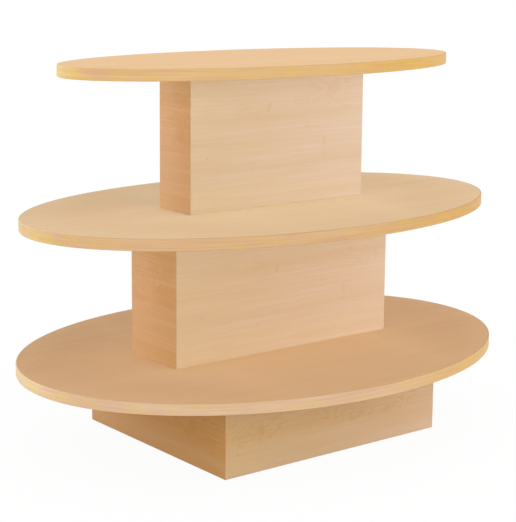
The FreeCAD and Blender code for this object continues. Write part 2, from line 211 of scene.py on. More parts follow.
class Finish(Nodes):
    """A material, and the steps that many finishes share."""

    def __init__(self, name, **constants):
        self.material = bpy.data.materials.new(name)
        self.material.use_nodes = True
        super().__init__(self.material.node_tree)
        self.shader = self.tree.nodes["Principled BSDF"]
        self.show(**constants)
        self.object_point = self.node("ShaderNodeTexCoord", output="Object")

    def show(self, **values):
        """Lead values to the shader's own sockets."""
        for socket, value in values.items():
            self.plug(value, self.shader.inputs[socket.replace("_", " ")])

    def split(self, point):
        """The three numbers of a point."""
        return [self.node("ShaderNodeSeparateXYZ", None, {0: point}, axis) for axis in range(3)]

    def joined(self, x, y, z):
        """A point made of three numbers."""
        return self.node("ShaderNodeCombineXYZ", None, {0: x, 1: y, 2: z})

    def vector(self, operation, first, second):
        """A sum of two points or two colours, number by number."""
        return self.node("ShaderNodeVectorMath", {"operation": operation}, {0: first, 1: second})

    def noise(self, point, scale, seed=0, detail=2.0, roughness=0.5):
        """Smooth noise about one half, with so many waves to the metre along each axis, or along all."""
        spread = self.vector("MULTIPLY", self.vector("ADD", point, three(seed)), three(scale))
        return self.node("ShaderNodeTexNoise", None, {
            "Vector": spread, "Scale": 1.0, "Detail": detail, "Roughness": roughness})

    def blend(self, low, high, share):
        """One colour where the share is 0 and the other where it is 1."""
        return self.node("ShaderNodeMix", {"data_type": "RGBA"}, {0: share, 6: low, 7: high}, 2)

    def tinted(self, colour, shares):
        """A colour with its red, green and blue each multiplied by a share."""
        return self.vector("MULTIPLY", colour, shares)

    def layered(self, colour, *layers):
        """A colour with others laid over it in turn, each by its own share."""
        for tint, share in layers:
            colour = self.blend(colour, tint, share)
        return colour

    def bumped(self, height, depth):
        """The surface's direction over a relief so many metres deep."""
        return self.node("ShaderNodeBump", None, {"Strength": 1.0, "Distance": depth, "Height": height})


print("a finish can", ", ".join(step for step in vars(Finish) if not step.startswith("_")))

# %% [markdown]
# ## Floor, light and background
#
# The table stands on a plain white floor in a white room, as in a catalogue. A floor lit to pure white
# would throw its light back up and bleach the pale wood. So the lamps stay low and the floor is shown
# brighter than it is: rays from the camera, and rays that come off metal, see mostly a plain white, and
# light itself meets an ordinary pale floor. Near the table some of the real floor shows through, which
# keeps the soft shadow under the plinth.

# %% Make the floor and the background
WHITE, AMBIENT = (1, 1, 1, 1), 0.92
FLOOR_HALF, SHADOW_ENDS = 30.0, (0.8, 1.8)  # metres from the middle of the table


def seen_plainly(nodes):
    """1 for rays that come straight from the camera or off a shiny or clear surface, else 0."""
    straight, glossy, clear = (nodes.node("ShaderNodeLightPath", output=f"Is {kind} Ray")
                               for kind in ("Camera", "Glossy", "Transmission"))
    return straight.larger(glossy).larger(clear)


def show_white(nodes, lit, white, share, output):
    """Show plain white, by a share, to the rays that see plainly, and what is lit to all others."""
    shown = nodes.node("ShaderNodeMixShader", None, {
        0: seen_plainly(nodes) * share, 1: Value(nodes, lit.outputs[0]), 2: white})
    nodes.plug(shown, nodes.tree.nodes[output].inputs["Surface"])


world = bpy.data.worlds.new("white_room")
bpy.context.scene.world = world
world.use_nodes = True
room = Nodes(world.node_tree)
ambient = room.tree.nodes["Background"]
room.plug(WHITE, ambient.inputs["Color"])
room.plug(AMBIENT, ambient.inputs["Strength"])
show_white(room, ambient, room.node("ShaderNodeBackground", None, {"Color": WHITE}), 1.0, "World Output")

bpy.ops.mesh.primitive_plane_add(size=2 * FLOOR_HALF)
floor = bpy.context.object
floor.name = "floor"
paint = Finish("white_floor", Base_Color=linear(244, 244, 243))
floor_x, floor_y, _ = paint.split(paint.object_point)
paint.show(Roughness=0.75 + 0.1 * paint.noise(paint.object_point, 60))
whiteness = 0.95 + 0.05 * apart(floor_x, floor_y).rise(*SHADOW_ENDS)
show_white(paint, paint.shader, paint.node("ShaderNodeEmission"), whiteness, "Material Output")
floor.data.materials.append(paint.material)
print("a floor of", 2 * FLOOR_HALF, "m in a room lit at", AMBIENT)

# %% [markdown]
# Five soft lamps do the rest. Three stand round the front, low and high, so that the wide fronts are
# lit evenly right up under the shelves. One lifts the narrow ends, and one behind the table reaches the
# parts of the lower shelves that the boxes would keep dark. All are large, because a small lamp would
# draw hard shadows of the shelves.

# %% Hang the lamps
LAMP_DISTANCE = 4.5


def hang_lamp(name, azimuth, elevation, size, power):
    """A square soft lamp that looks at the middle of the table."""
    away = direction(azimuth, elevation)
    bpy.ops.object.light_add(type="AREA", location=TARGET + LAMP_DISTANCE * away,
                             rotation=away.to_track_quat("Z", "Y").to_euler())
    lamp = bpy.context.object
    lamp.name = name
    lamp.data.size, lamp.data.energy = size, power
    print(name, [round(part, 2) for part in lamp.location])


LAMPS = {  # the azimuth and the elevation in degrees, the size in metres, the power in watts
    "key_lamp": (5, 10, 2.4, 42),
    "front_lamp": (0, 45, 4.0, 23),
    "right_lamp": (60, 15, 3.0, 35),
    "left_lamp": (-85, 10, 2.4, 49),
    "back_lamp": (-168, 22, 3.0, 26),
}
for name, settings in LAMPS.items():
    hang_lamp(name, *settings)
bpy.context.scene.view_settings.view_transform = "Standard"

# %% [markdown]
# ## Maple laminate
#
# The boards are particle board with a printed maple paper pressed on both faces. The print is quiet: a
# peach ground, straight fine streaks, wider pale streaks, and a few pin knots. Here and there is a flight
# of arches, where the saw met the rings of the tree at a slant, or a patch of wavy nested lines, where it
# ran almost along them. Such lines are the level lines of a smooth noise, as rings on a board are level
# lines of the tree. Close to, there are fibres and short flecks. All of it runs along the board's length.
#
# One function makes the finish for each board. It first turns the table's own axes so that x runs along
# the grain, z across it and y through the board. The same sums then serve shelves and panels. The marks
# of the print come first: each gives 1 where it is strongest and 0 where the plain ground shows.

# %% Arches, soft marks, wavy lines and chips
FLAME_LEVELS, CHIPS_TO_THE_METRE = 26, (160, 420, 160)
CHIP_DARK, CHIP_PALE = linear(150, 112, 72), linear(214, 180, 132)


def arches(finish, along, across, tip, length, half_width, gap, wobble):
    """Lines of nested arches that open from a tip, to the right, or to the left if length is negative."""
    run = (along - tip[0]) * math.copysign(1, length)
    reach = abs(length)
    blunt = 0.4 * half_width / reach
    aside = apart((across - tip[1]) / half_width, blunt) - blunt
    inside = run - aside * reach
    line = (inside / gap + wobble).there_and_back().rise(0.5, 1.0)
    return line * inside.rise(0, gap) * run.fall(0.5 * reach, reach)


def soft_spot(along, across, middle, half_length, half_width, slant):
    """A soft oval mark. The slant leans it over, as a share of its height."""
    down = (along - middle[0] + (across - middle[1]) * slant) / half_length
    over = (across - middle[1]) / half_width
    return (down ** 2 + over ** 2).fall(0.3, 1.0)


def flame(finish, point, seed):
    """Wavy nested lines, as where the saw ran almost along the rings: the level lines of a smooth noise."""
    level = finish.noise(point, (5, 1, 15), seed, detail=1.0)
    return (level * FLAME_LEVELS).there_and_back().rise(0.5, 1.0)


def chips(finish, point):
    """The colour of the core: flat chips, pressed together."""
    chip = finish.node("ShaderNodeTexVoronoi", None, {
        "Vector": finish.vector("MULTIPLY", point, CHIPS_TO_THE_METRE), "Scale": 1.0}, "Color")
    return finish.blend(CHIP_DARK, CHIP_PALE, finish.node("ShaderNodeSeparateColor", None, {0: chip}))


print("the core's chips go from", [round(part, 2) for part in CHIP_DARK[:3]], "to",
      [round(part, 2) for part in CHIP_PALE[:3]], "as light")

# %% [markdown]
# Here light and shade are painted into the print. Beside the boxes on a shelf, close under the shelves
# and at the foot of each box, painted light lifts the tone against the shade that falls there. On the
# outer part of the shelves and halfway up the boxes, painted shade darkens it. On a shelf this goes by
# the distance from the box, and on a panel by the height.

# %% Paint light and shade into the print
# painted shade towards a shelf's rim and halfway up a box; painted light beside a box, under a shelf and at a
# box's foot
RIM_PAINTED_SHADE_SHARES, PAINTED_LIGHT_REACH = (0.88, 0.87, 0.868), (-0.08, 0.44)  # shares of the tone, metres from the box
SHORTER = 0.10  # the painted light reaches less far at a box's ends
HALFWAY_PAINTED_SHADE_SHARES, TOP_PAINTED_LIGHT_SHARES, UPPER_HALF = (0.945, 0.945, 0.965), (1.06, 1.13, 1.20), (0, 0.55)
FOOT_PAINTED_LIGHT_SHARES, FOOT = (1.01, 1.03, 1.03), (-0.5, -0.2)  # heights are shares, from halfway up


def painted_light_and_shade(finish, tone, along, across, box, tall):
    """A tone with painted light and shade, beside the box on a shelf or up the height of a panel."""
    if box:
        aside = (abs(along) - box[0] + SHORTER).larger(0) + (abs(across) - box[1]).larger(0)
        return finish.blend(finish.tinted(tone, box[2]), finish.tinted(tone, RIM_PAINTED_SHADE_SHARES),
                            aside.rise(*PAINTED_LIGHT_REACH))
    if tall:
        height = across / tall
        upper = finish.blend(finish.tinted(tone, HALFWAY_PAINTED_SHADE_SHARES), finish.tinted(tone, TOP_PAINTED_LIGHT_SHARES),
                             height.rise(*UPPER_HALF))
        return finish.blend(upper, finish.tinted(tone, FOOT_PAINTED_LIGHT_SHARES), height.fall(*FOOT))
    return tone


# the painted shade towards a shelf's rim, as shares of red, green and blue
print("light has left the print with", RIM_PAINTED_SHADE_SHARES, "of its red, green and blue")

# %% [markdown]
# The marks are listed by kind, each with its place and its strength. Flames and smudges take the colour
# of the grain's lines. A pin knot is a brown speck.

# %% Place the marks
SPECK = linear(120, 80, 50)


def mark_layers(finish, point, line, wobble, marks, seed):
    """A layer of colour for every mark of the print."""
    along, _, across = finish.split(point)
    layers = [(line, arches(finish, along, across, tip, reach, half_width, gap, wobble) * strength)
              for tip, reach, half_width, gap, strength in marks.get("arches", ())]
    for kind, tint, pattern in (("flames", line, flame(finish, point, seed)), ("smudges", line, 1.0),
                                ("pins", SPECK, 1.0)):
        layers += [(tint, soft_spot(along, across, spot, half_length, half_width, slant) * pattern * strength)
                   for spot, half_length, half_width, slant, strength in marks.get(kind, ())]
    return layers


print("a pin knot is", [round(part, 2) for part in SPECK[:3]], "as light")

# %% [markdown]
# Then the grain is laid on the ground, one layer over another: streaks, lines, fibres and flecks, and the
# marks last. Within 0.8 mm of either face a board is print, and deeper in it is the chips of the core, so
# a cut edge shows both.

# %% Print the maple
PAPER_THICK, PAPER_FRAY = 0.0008, 0.0001
PALE_SHARES, LINE_SHARES = (1.07, 1.15, 1.34), (0.90, 0.80, 0.60)
STREAKS, LINES, FIBRES, FLECKS, PALER = 0.55, 0.26, 0.30, 0.35, 0.85  # how strongly each shows


def maple(name, tone, turn, middle, thick, length, seed, depth=1.0, drift=(0, 0, 0), marks=None, box=None,
          hem=None, tall=None):
    """Maple laminate. Turn leads the table's axes to the board's, and middle is the board's own middle.

    Drift is how the tone changes, in levels of 255, from the middle to the right-hand end, and the other
    way round to the left-hand one. Depth is how strong the streaks are. Marks
    are single features of the print. Box is half the length and half the depth of the box on a shelf, and
    the painted light beside it as shares of the board's tone. Tall is the height of a panel whose painted
    light and shade go by height. Hem is how high a paler stretch of the print reaches, at the left and at
    the right end.
    """
    finish = Finish(name, Specular_IOR_Level=0.05)
    point = finish.node("ShaderNodeMapping", None, {
        "Vector": finish.vector("SUBTRACT", finish.object_point, tuple(middle)),
        "Rotation": tuple(math.radians(angle) for angle in turn)})
    along, deep, across = finish.split(point)

    # the grain wanders a little to the sides as it runs
    wander = finish.noise(point, (1.6, 1, 5), seed) - 0.5
    grain = finish.joined(along, deep, across + wander * 0.016)
    wide = finish.noise(grain, (1.0, 1, 22), seed)
    streak = finish.noise(grain, (2.4, 1, 110), seed, detail=3.0, roughness=0.6)
    fine = finish.noise(grain, (6, 1, 420), seed)
    fibre = finish.noise(grain, (45, 1, 2600), seed, detail=1.0)
    fleck = finish.noise(grain, (210, 1, 1500), seed, detail=0.0).rise(0.70, 0.80)

    ends = [linear(*(level + side * change for level, change in zip(tone, drift))) for side in (-1, 1)]
    drifting = finish.blend(*ends, along.rise(-length / 2, length / 2))
    # painted light beside a box or under a shelf, and painted shade away from the box or halfway up a panel
    ground = painted_light_and_shade(finish, drifting, along, across, box, tall)
    pale, line = (finish.tinted(ground, shares) for shares in (PALE_SHARES, LINE_SHARES))
    layers = []
    if hem:
        height = hem[0] + (hem[1] - hem[0]) * along.rise(-length / 4, length / 2)
        layers.append((pale, (height - across + wander * 0.03).rise(-0.025, 0.030) * PALER))
    layers += [(pale, streak.rise(0.46, 0.72) * STREAKS * depth),
               (line, wide.rise(0.42, 0.75) * LINES * depth),
               (line, fine.rise(0.45, 0.75) * LINES * depth),
               (line, (fibre - 0.35).larger(0) * FIBRES + fleck * FLECKS)]
    curl = finish.noise(point, (14, 1, 36), seed, detail=1.0)
    wobble = (wander + (streak - 0.5) * 0.4) * 1.4 + (curl - 0.5) * 2.0
    layers += mark_layers(finish, point, line, wobble, marks or {}, seed)

    paper = abs(deep).rise(thick / 2 - PAPER_THICK - PAPER_FRAY, thick / 2 - PAPER_THICK)
    rough_core = finish.noise(point, 900)
    relief = paper * (fibre * 0.12 + fine * 0.10) + (1 - paper) * rough_core
    finish.show(Base_Color=finish.blend(chips(finish, point), finish.layered(ground, *layers), paper),
                Roughness=0.94 - paper * (0.12 - 0.08 * streak), Normal=finish.bumped(relief, depth=0.0003))
    return finish.material


print("the print is", 1000 * PAPER_THICK, "mm deep on each face")

# %% [markdown]
# ## The shelves
#
# Each shelf is an oval cut from 32 mm board. An ellipse is a circle that has been scaled, so the board
# starts as a filled circle, is scaled to the board's half length and half depth, and is extruded upwards.
# 360 points round it leave no corner that can be seen. An operator acts on everything that is selected,
# and loading the table leaves its nodes selected, so each piece starts from an empty selection.

# %% Cut the three oval boards
RIM_POINTS = 360


def select_only(*pieces):
    """Select some pieces and nothing else, and make the first of them the active one."""
    bpy.ops.object.select_all(action="DESELECT")
    for piece in pieces:
        piece.select_set(True)
    if pieces:
        bpy.context.view_layer.objects.active = pieces[0]


def start_mesh(name):
    """Name the primitive that was just added, move its place into its mesh, and open it for editing."""
    piece = bpy.context.object
    piece.name = piece.data.name = name
    bpy.ops.object.transform_apply(location=True, rotation=True, scale=True)
    bpy.ops.object.mode_set(mode="EDIT")
    return piece


def modify(piece, kind, **settings):
    """Put a modifier on a piece and apply it."""
    modifier = piece.modifiers.new("modifier", kind)
    for setting, choice in settings.items():
        setattr(modifier, setting, choice)
    bpy.context.view_layer.objects.active = piece
    bpy.ops.object.modifier_apply(modifier=modifier.name)


def close_mesh(piece, smooth_below=35):
    """Turn the faces outwards, leave edit mode, and smooth the edges that turn by less than an angle."""
    bpy.ops.mesh.select_all(action="SELECT")
    bpy.ops.mesh.normals_make_consistent(inside=False)
    if bmesh.from_edit_mesh(piece.data).calc_volume(signed=True) < 0:
        bpy.ops.mesh.flip_normals()
    bpy.ops.object.mode_set(mode="OBJECT")
    bpy.ops.object.shade_smooth_by_angle(angle=math.radians(smooth_below))
    modify(piece, "WEIGHTED_NORMAL", keep_sharp=True)


def flat_oval(name, low, high, fill):
    """A circle scaled to an oval that fills the box from low to high, at its lowest level."""
    select_only()
    bpy.ops.mesh.primitive_circle_add(vertices=RIM_POINTS, radius=1, fill_type=fill, location=(0, 0, low.z))
    piece = start_mesh(name)
    bpy.ops.transform.resize(value=(high.x, high.y, 1), center_override=(0, 0, low.z))
    return piece


boards = {}
for tier in TIERS:
    low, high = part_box(f"{tier}_shelf_board")
    board = flat_oval(f"{tier}_oval_board", low, high, "NGON")
    bpy.ops.mesh.extrude_region_move(TRANSFORM_OT_translate={"value": (0, 0, high.z - low.z)})
    close_mesh(board)
    boards[tier] = board
    print(board.name, [round(side, 3) for side in board.dimensions])

# %% [markdown]
# The bolts of the box above pass through each of the two lower boards. Their holes are drilled with a
# Boolean, which takes a round bit away from the board, as on a drill press. A riser's four washers fill
# a space whose corners say where the bolts stand.

# %% Drill the boards for the bolts
RISER_ON = {"bottom": "lower_riser", "middle": "upper_riser"}
BOLT_HOLE_RADIUS, WASHER_RADIUS = 0.0035, 0.006


def bolt_places(riser):
    """Where a riser's four bolts stand, in X and Y."""
    _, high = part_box(f"{riser}_washers")
    return [(side_x * (high.x - WASHER_RADIUS), side_y * (high.y - WASHER_RADIUS))
            for side_x in (-1, 1) for side_y in (-1, 1)]


def drill(piece, places, radius, low, high):
    """Drill a round hole through a piece at each place."""
    select_only()
    for x, y in places:
        bpy.ops.mesh.primitive_cylinder_add(vertices=48, radius=radius, depth=1.2 * (high - low),
                                            location=(x, y, (low + high) / 2))
        bit = bpy.context.object
        modify(piece, "BOOLEAN", operation="DIFFERENCE", solver="EXACT", object=bit)
        bpy.data.objects.remove(bit)


for tier, riser in RISER_ON.items():
    low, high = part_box(f"{tier}_shelf_board")
    drill(boards[tier], bolt_places(riser), BOLT_HOLE_RADIUS, low.z, high.z)
    print(boards[tier].name, "has", len(boards[tier].data.polygons), "faces")

# %% [markdown]
# Each of the three boards has its own tone: the top one is a clear peach, the middle one paler and
# greyer, and the bottom one the darkest. A piece that is remade stands for a packed one, so it rides on
# the same body and the packed one is hidden.

# %% Lay the maple on the boards
def dress(piece, body, slot, material, *nodes):
    """Give a piece its finish, say which body it rides on, and hide the nodes that it stands for."""
    piece.data.materials.clear()
    piece.data.materials.append(material)
    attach(piece, body)
    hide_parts(*nodes)


BOARD_TONES = {"bottom": (217, 180, 140), "middle": (230, 203, 165), "top": (227, 190, 148)}
SHELF_PINS = {
    "bottom": (((-0.641, 0.200), 0.002, 0.004, 0.0, 0.5),),
    "middle": (((-0.715, 0.016), 0.002, 0.005, 0.0, 0.6), ((-0.673, 0.190), 0.002, 0.005, 0.0, 0.6)),
    "top": (),
}
# painted light on a shelf beside its box, as shares of the board's tone
SHELF_DEPTH, BOX_SIDE_PAINTED_LIGHT_SHARES = 0.6, {"bottom": (1.15, 1.28, 1.39), "middle": (1.08, 1.21, 1.36)}
for number, tier in enumerate(TIERS):
    low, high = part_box(f"{tier}_shelf_board")
    box = None
    if tier in RISER_ON:
        box = (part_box(f"{RISER_ON[tier]}_right_panel")[1].x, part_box(f"{RISER_ON[tier]}_back_panel")[1].y,
               BOX_SIDE_PAINTED_LIGHT_SHARES[tier])
    finish = maple(f"maple_{tier}_shelf", BOARD_TONES[tier], turn=(90, 0, 0),
                   middle=(0, 0, (low.z + high.z) / 2), thick=high.z - low.z, length=high.x - low.x,
                   seed=3.1 + 2.7 * number, depth=SHELF_DEPTH, marks={"pins": SHELF_PINS[tier]}, box=box)
    dress(boards[tier], "table", "maple_laminate", finish, f"{tier}_shelf_board")
    print("maple on the", tier, "board")

# %% [markdown]
# ## The edge bands
#
# A band of yellower maple, 3 mm thick, is glued round each oval, and its outer corners are eased with a
# router. It starts as the band's outer line and a copy of it scaled to the inner line. Bridged, they
# make a flat ring, which is extruded to the height of the board. Its two outer corners are bevelled by
# 2 mm. The glue line between it and the board is left as a real gap of a tenth of a millimetre.

# %% Bend the three bands
BAND_THICK, BAND_ROUND, TOUCHING = 0.003, 0.002, 1e-5
bands = {}


def pick(kind, wanted):
    """Select the points, edges or faces of the open mesh whose points all pass a test."""
    bpy.ops.mesh.select_mode(type=kind)
    bpy.ops.mesh.select_all(action="DESELECT")
    mesh = bpy.context.edit_object.data
    shape = bmesh.from_edit_mesh(mesh)
    parts = {"VERT": shape.verts, "EDGE": shape.edges, "FACE": shape.faces}[kind]
    for part in parts:
        points = [part] if kind == "VERT" else part.verts
        part.select_set(all(wanted(point.co) for point in points))
    shape.select_flush_mode()
    bmesh.update_edit_mesh(mesh)


for tier in TIERS:
    low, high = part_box(f"{tier}_shelf_edge_band")
    band = flat_oval(f"{tier}_oval_band", low, high, "NOTHING")
    bpy.ops.mesh.duplicate_move()
    bpy.ops.transform.resize(value=((high.x - BAND_THICK) / high.x, (high.y - BAND_THICK) / high.y, 1),
                             center_override=(0, 0, low.z))
    bpy.ops.mesh.select_all(action="SELECT")
    bpy.ops.mesh.bridge_edge_loops()
    bpy.ops.mesh.extrude_region_move(TRANSFORM_OT_translate={"value": (0, 0, high.z - low.z)})
    for height in (low.z, high.z):
        pick("EDGE", lambda point: abs(point.z - height) < TOUCHING
             and (point.x / high.x) ** 2 + (point.y / high.y) ** 2 > 0.999)
        bpy.ops.mesh.bevel(offset=BAND_ROUND, segments=5, affect="EDGES")
    close_mesh(band)
    bands[tier] = band
    print(band.name, [round(side, 4) for side in band.dimensions], len(band.data.polygons), "faces")

# %% [markdown]
# The band's finish is lacquered wood strip. Its streaks run round the table, which needs no unwrapping:
# noise that is drawn out in X and Y and squeezed in Z gives level streaks on any upright face. The strip's
# tone drifts along its length, from cream at the left-hand end over peach at the front to yellow at the
# right. The drift follows the angle round the oval, 0 degrees at the middle of the front. At the back,
# where the strip's two ends meet, there is a hair-thin joint. Along the top corner runs a painted
# highlight, palest at the left-hand end, and from there on painted shade darkens it.

# %% Lacquer the bands
BAND_PALE, BAND_DARK, JOINT_GLUE = (1.10, 1.17, 1.28), (0.84, 0.72, 0.60), linear(110, 70, 35)
BAND_YELLOW, BAND_PINK = (1.03, 1.05, 0.78), (1.00, 0.94, 1.12)
TIP, TOP_CORNER, JOINT_HALF = (0.84, 1.0), (-0.0016, -0.0002), (0.00010, 0.00022)
FULL_ROUND = 178  # degrees: the back, where the first tone comes round again


def band_maple(name, low, high, tones, seed):
    """Lacquered maple strip with a tone for each of some angles round the oval, in degrees."""
    finish = Finish(name, Specular_IOR_Level=0.06)
    point = finish.object_point
    x, y, z = finish.split(point)
    streak = finish.noise(point, (5, 5, 260), seed, detail=3.0)
    fine = finish.noise(point, (14, 14, 1300), seed)
    patch = finish.noise(point, (16, 16, 60), seed, detail=3.0, roughness=0.6)
    other_patch = finish.noise(point, (13, 13, 45), (seed + 5, seed, seed), detail=3.0)

    round_it = (x / high.x).turn_from(y / -high.y)
    tone = linear(*tones[0][1])
    for (start, _), (end, next_tone) in zip(tones, tones[1:] + [(FULL_ROUND, tones[0][1])]):
        share = round_it.rise(math.radians(start), math.radians(end))
        tone = finish.blend(tone, linear(*next_tone), share)  # each next tone lies over the last
    yellow, pink, pale, dark = (finish.tinted(tone, shares)
                                for shares in (BAND_YELLOW, BAND_PINK, BAND_PALE, BAND_DARK))
    tip = abs(x / high.x).rise(*TIP)
    # the band's top corner, where a highlight and then shade are painted
    corner = z.rise(high.z + TOP_CORNER[0], high.z + TOP_CORNER[1])
    joint = abs(x).fall(*JOINT_HALF) * y.rise(0, 0.01)
    colour = finish.layered(
        tone,
        (yellow, (patch + tip * 0.06).rise(0.46, 0.64) * (0.8 + tip * 0.9)),
        (pink, other_patch.rise(0.50, 0.66) * (0.7 + tip * 0.4)),
        (pale, streak.rise(0.46, 0.70) * 0.5),
        (dark, fine.rise(0.48, 0.78) * 0.25 + streak.fall(0.34, 0.50) * 0.2),
        # a painted highlight along the top corner, and painted shade over it from the left-hand end on
        (pale, corner * 0.7),
        (dark, corner * round_it.rise(-1.4, -1.0) * 0.6),
        (JOINT_GLUE, joint))
    finish.show(Base_Color=colour, Roughness=0.34 + 0.14 * streak,
                Normal=finish.bumped(fine * 0.3 + streak * 0.3 - joint, depth=0.0002))
    return finish.material


print("the ends of a band meet in a line", 2000 * JOINT_HALF[1], "mm wide")

# %% [markdown]
# All three strips run from cream over peach to yellow. The bottom one has less yellow in it than the
# others, and the middle one is a shade darker.

# %% Lay the lacquer on the bands
CREAM, PEACH, YELLOW = (210, 180, 135), (195, 160, 120), (195, 155, 95)
BAND_STOPS = ((-95, CREAM), (-70, PEACH), (-15, PEACH), (30, YELLOW))  # degrees round the oval
BAND_TINTS = {"bottom": (1.01, 1.03, 1.10), "middle": (0.98, 0.97, 0.96), "top": (1.0, 1.0, 0.94)}
for number, tier in enumerate(TIERS):
    low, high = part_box(f"{tier}_shelf_edge_band")
    tones = [(angle, [level * share for level, share in zip(tone, BAND_TINTS[tier])])
             for angle, tone in BAND_STOPS]
    finish = band_maple(f"maple_{tier}_band", low, high, tones, seed=1.7 + 4.1 * number)
    dress(bands[tier], "table", "maple_edge_band", finish, f"{tier}_shelf_edge_band")
    print("lacquer on the", tier, "band")

# %% [markdown]
# ## The boxes
#
# The plinth and the risers are boxes of four 18 mm panels whose ends are cut at 45 degrees and folded
# together, so that the print runs to the very corner. A panel starts as a block. The points of its inner
# face are pulled in by the board's thickness at both ends, which makes the mitres. The sharp outer corner
# of a folded mitre is rounded by under a millimetre, half of the round on each panel, and the long outer
# edges are eased.

# %% Mitre the twelve panels
FOLD_RADIUS, EASED = 0.0008, 0.0004


def weld():
    """Merge the points of the open mesh that lie on one another."""
    bpy.ops.mesh.select_all(action="SELECT")
    bpy.ops.mesh.remove_doubles(threshold=2e-6)


def model_panel(name, node, out):
    """A mitred panel that faces out, in the place of a node."""
    low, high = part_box(node)
    along = Vector((-out.y, out.x, 0))  # to the right, as seen from outside
    size, centre = high - low, (low + high) / 2
    thick, half_length = abs(size.dot(out)), abs(size.dot(along)) / 2
    face = centre.dot(out) + thick / 2
    select_only()
    bpy.ops.mesh.primitive_cube_add(size=1, location=centre, scale=size)
    piece = start_mesh(name)
    for end in (-1, 1):
        pick("VERT", lambda point: end * point.dot(along) > half_length - TOUCHING
             and point.dot(out) < face - thick / 2)
        bpy.ops.transform.translate(value=-end * thick * along)
    for end in (-1, 1):
        bpy.ops.mesh.select_all(action="SELECT")
        bpy.ops.mesh.bisect(plane_co=end * (half_length - FOLD_RADIUS) * along, plane_no=along,
                            threshold=1e-6)
        pick("VERT", lambda point: end * point.dot(along) > half_length - TOUCHING)
        inset = FOLD_RADIUS * (1 - math.sqrt(0.5))
        bpy.ops.transform.translate(value=-inset * (end * along + out))
    pick("EDGE", lambda point: point.dot(out) > face - FOLD_RADIUS - TOUCHING
         and min(abs(point.z - low.z), abs(point.z - high.z)) < TOUCHING)
    bpy.ops.mesh.bevel(offset=EASED, segments=2, affect="EDGES")
    weld()
    close_mesh(piece)
    return piece


SIDES = {"front": Vector((0, -1, 0)), "right": Vector((1, 0, 0)), "back": Vector((0, 1, 0)),
         "left": Vector((-1, 0, 0))}
TURNS = {"front": 0, "right": -90, "back": 180, "left": 90}
panels = {(box, side): model_panel(f"{box}_{side}_board", f"{box}_{side}_panel", out)
          for box in BOXES for side, out in SIDES.items()}
print(len(panels), "panels of", {len(panel.data.polygons) for panel in panels.values()}, "faces")

# %% [markdown]
# The wide panels of both risers carry the same stretch of print, and so do the narrow ones: the pattern
# repeats because all are cut from the same paper. The plinth has a stretch of its own, with a paler strip
# low down. The places of the arches and marks are given from the panel's middle, as shares of its length
# and of its height.

# %% Mark out the print
WIDE_PRINT = {  # the place, the length, the half height, the gap between arches or the slant, the strength
    "arches": (((0.06, 0.257), 0.43, 0.22, 0.012, 0.28), ((-0.24, 0.235), 0.19, 0.08, 0.009, 0.28),
               ((-0.45, 0.235), 0.11, 0.06, 0.009, 0.22)),
    "flames": (((0.36, 0.34), 0.22, 0.22, 0.0, 0.32), ((-0.16, 0.24), 0.12, 0.12, 0.0, 0.18)),
    "smudges": (((-0.065, 0.233), 0.012, 0.045, -0.40, 0.40), ((0.264, -0.044), 0.010, 0.055, 0.20, 0.26),
                ((0.265, -0.154), 0.014, 0.035, 0.0, 0.20), ((0.16, 0.069), 0.024, 0.016, 0.0, 0.25)),
    "pins": (((-0.410, -0.104), 0.0026, 0.005, 0.0, 0.6), ((-0.155, -0.246), 0.0026, 0.005, 0.0, 0.6),
             ((0.225, -0.402), 0.0022, 0.004, 0.0, 0.3)),
}
NARROW_PRINT = {
    "arches": (((-0.42, 0.14), 1.0, 0.26, 0.016, 0.17),),
    "flames": (((0.0, 0.20), 0.80, 0.30, 0.0, 0.32),),
    "smudges": (((0.34, 0.10), 0.40, 0.13, 0.0, 0.35), ((0.28, 0.37), 0.45, 0.13, 0.0, 0.25)),
}
PLINTH_PRINT = {
    "arches": (((-0.225, 0.012), 0.55, 0.26, 0.014, 0.28), ((-0.48, 0.02), 0.20, 0.22, 0.012, 0.25)),
    "flames": (((-0.36, 0.06), 0.17, 0.26, 0.0, 0.44), ((0.16, 0.10), 0.42, 0.30, 0.0, 0.42)),
    "smudges": (((-0.345, 0.02), 0.022, 0.10, 0.10, 0.30), ((-0.43, -0.11), 0.03, 0.05, 0.0, 0.25)),
    "pins": (((-0.445, -0.227), 0.003, 0.014, 0.0, 0.45),),
}
print("marks in the wide print:", sum(len(places) for places in WIDE_PRINT.values()))

# %% [markdown]
# On the lower riser the print is cut a little further along and sits a little lower, and its marks are
# flatter. The plinth's ends show the same arches as its front, the other way round and drawn out. The
# wide and the narrow panels of a box each have their own tone, and the narrow ends' tone is darker and
# more orange with painted shade. On the wide ones it gets a little paler towards the right-hand end, and
# on the narrow ones a little darker.

# %% Lay the maple on the panels
PANEL_TONES_AND_END_SHADE = {  # the wide panels, and then the narrow ones, which are darkened with painted shade
    "upper_riser": ((213, 190, 162), (205, 165, 123)),
    "lower_riser": ((219, 192, 160), (207, 164, 119)),
    "plinth": ((197, 165, 126), (187, 144, 95)),
}
WIDE_DRIFT, NARROW_DRIFT = (3, 3, 7), (-6, -6, -8)
PRINT_SHIFTS = {  # how much flatter it is, how far it is shifted, and how much it is lifted
    "upper_riser": (1.0, 0.0, 0.0),
    "lower_riser": (0.83, 0.02, -0.073),
    "plinth": (1.0, 0.0, 0.0),
}
PLINTH_HEM, SIDE_STRETCH = (-0.19, -0.25), 1.45


def on_the_side(marks):
    """The marks of the plinth's front as its sides show them, mirrored about the corner and stretched."""
    return {kind: [((0.5 - (x + 0.5) * SIDE_STRETCH, y), -run * SIDE_STRETCH, half, other, strength)
                   for (x, y), run, half, other, strength in places] for kind, places in marks.items()}


def in_metres(marks, length, height, squash, shift, lift):
    """Turn shares of a panel's length and height into metres."""
    return {kind: [(((x + shift) * length, (y * squash + lift) * height), run * length,
                    half * squash * height, other, strength) for (x, y), run, half, other, strength in places]
            for kind, places in marks.items()}


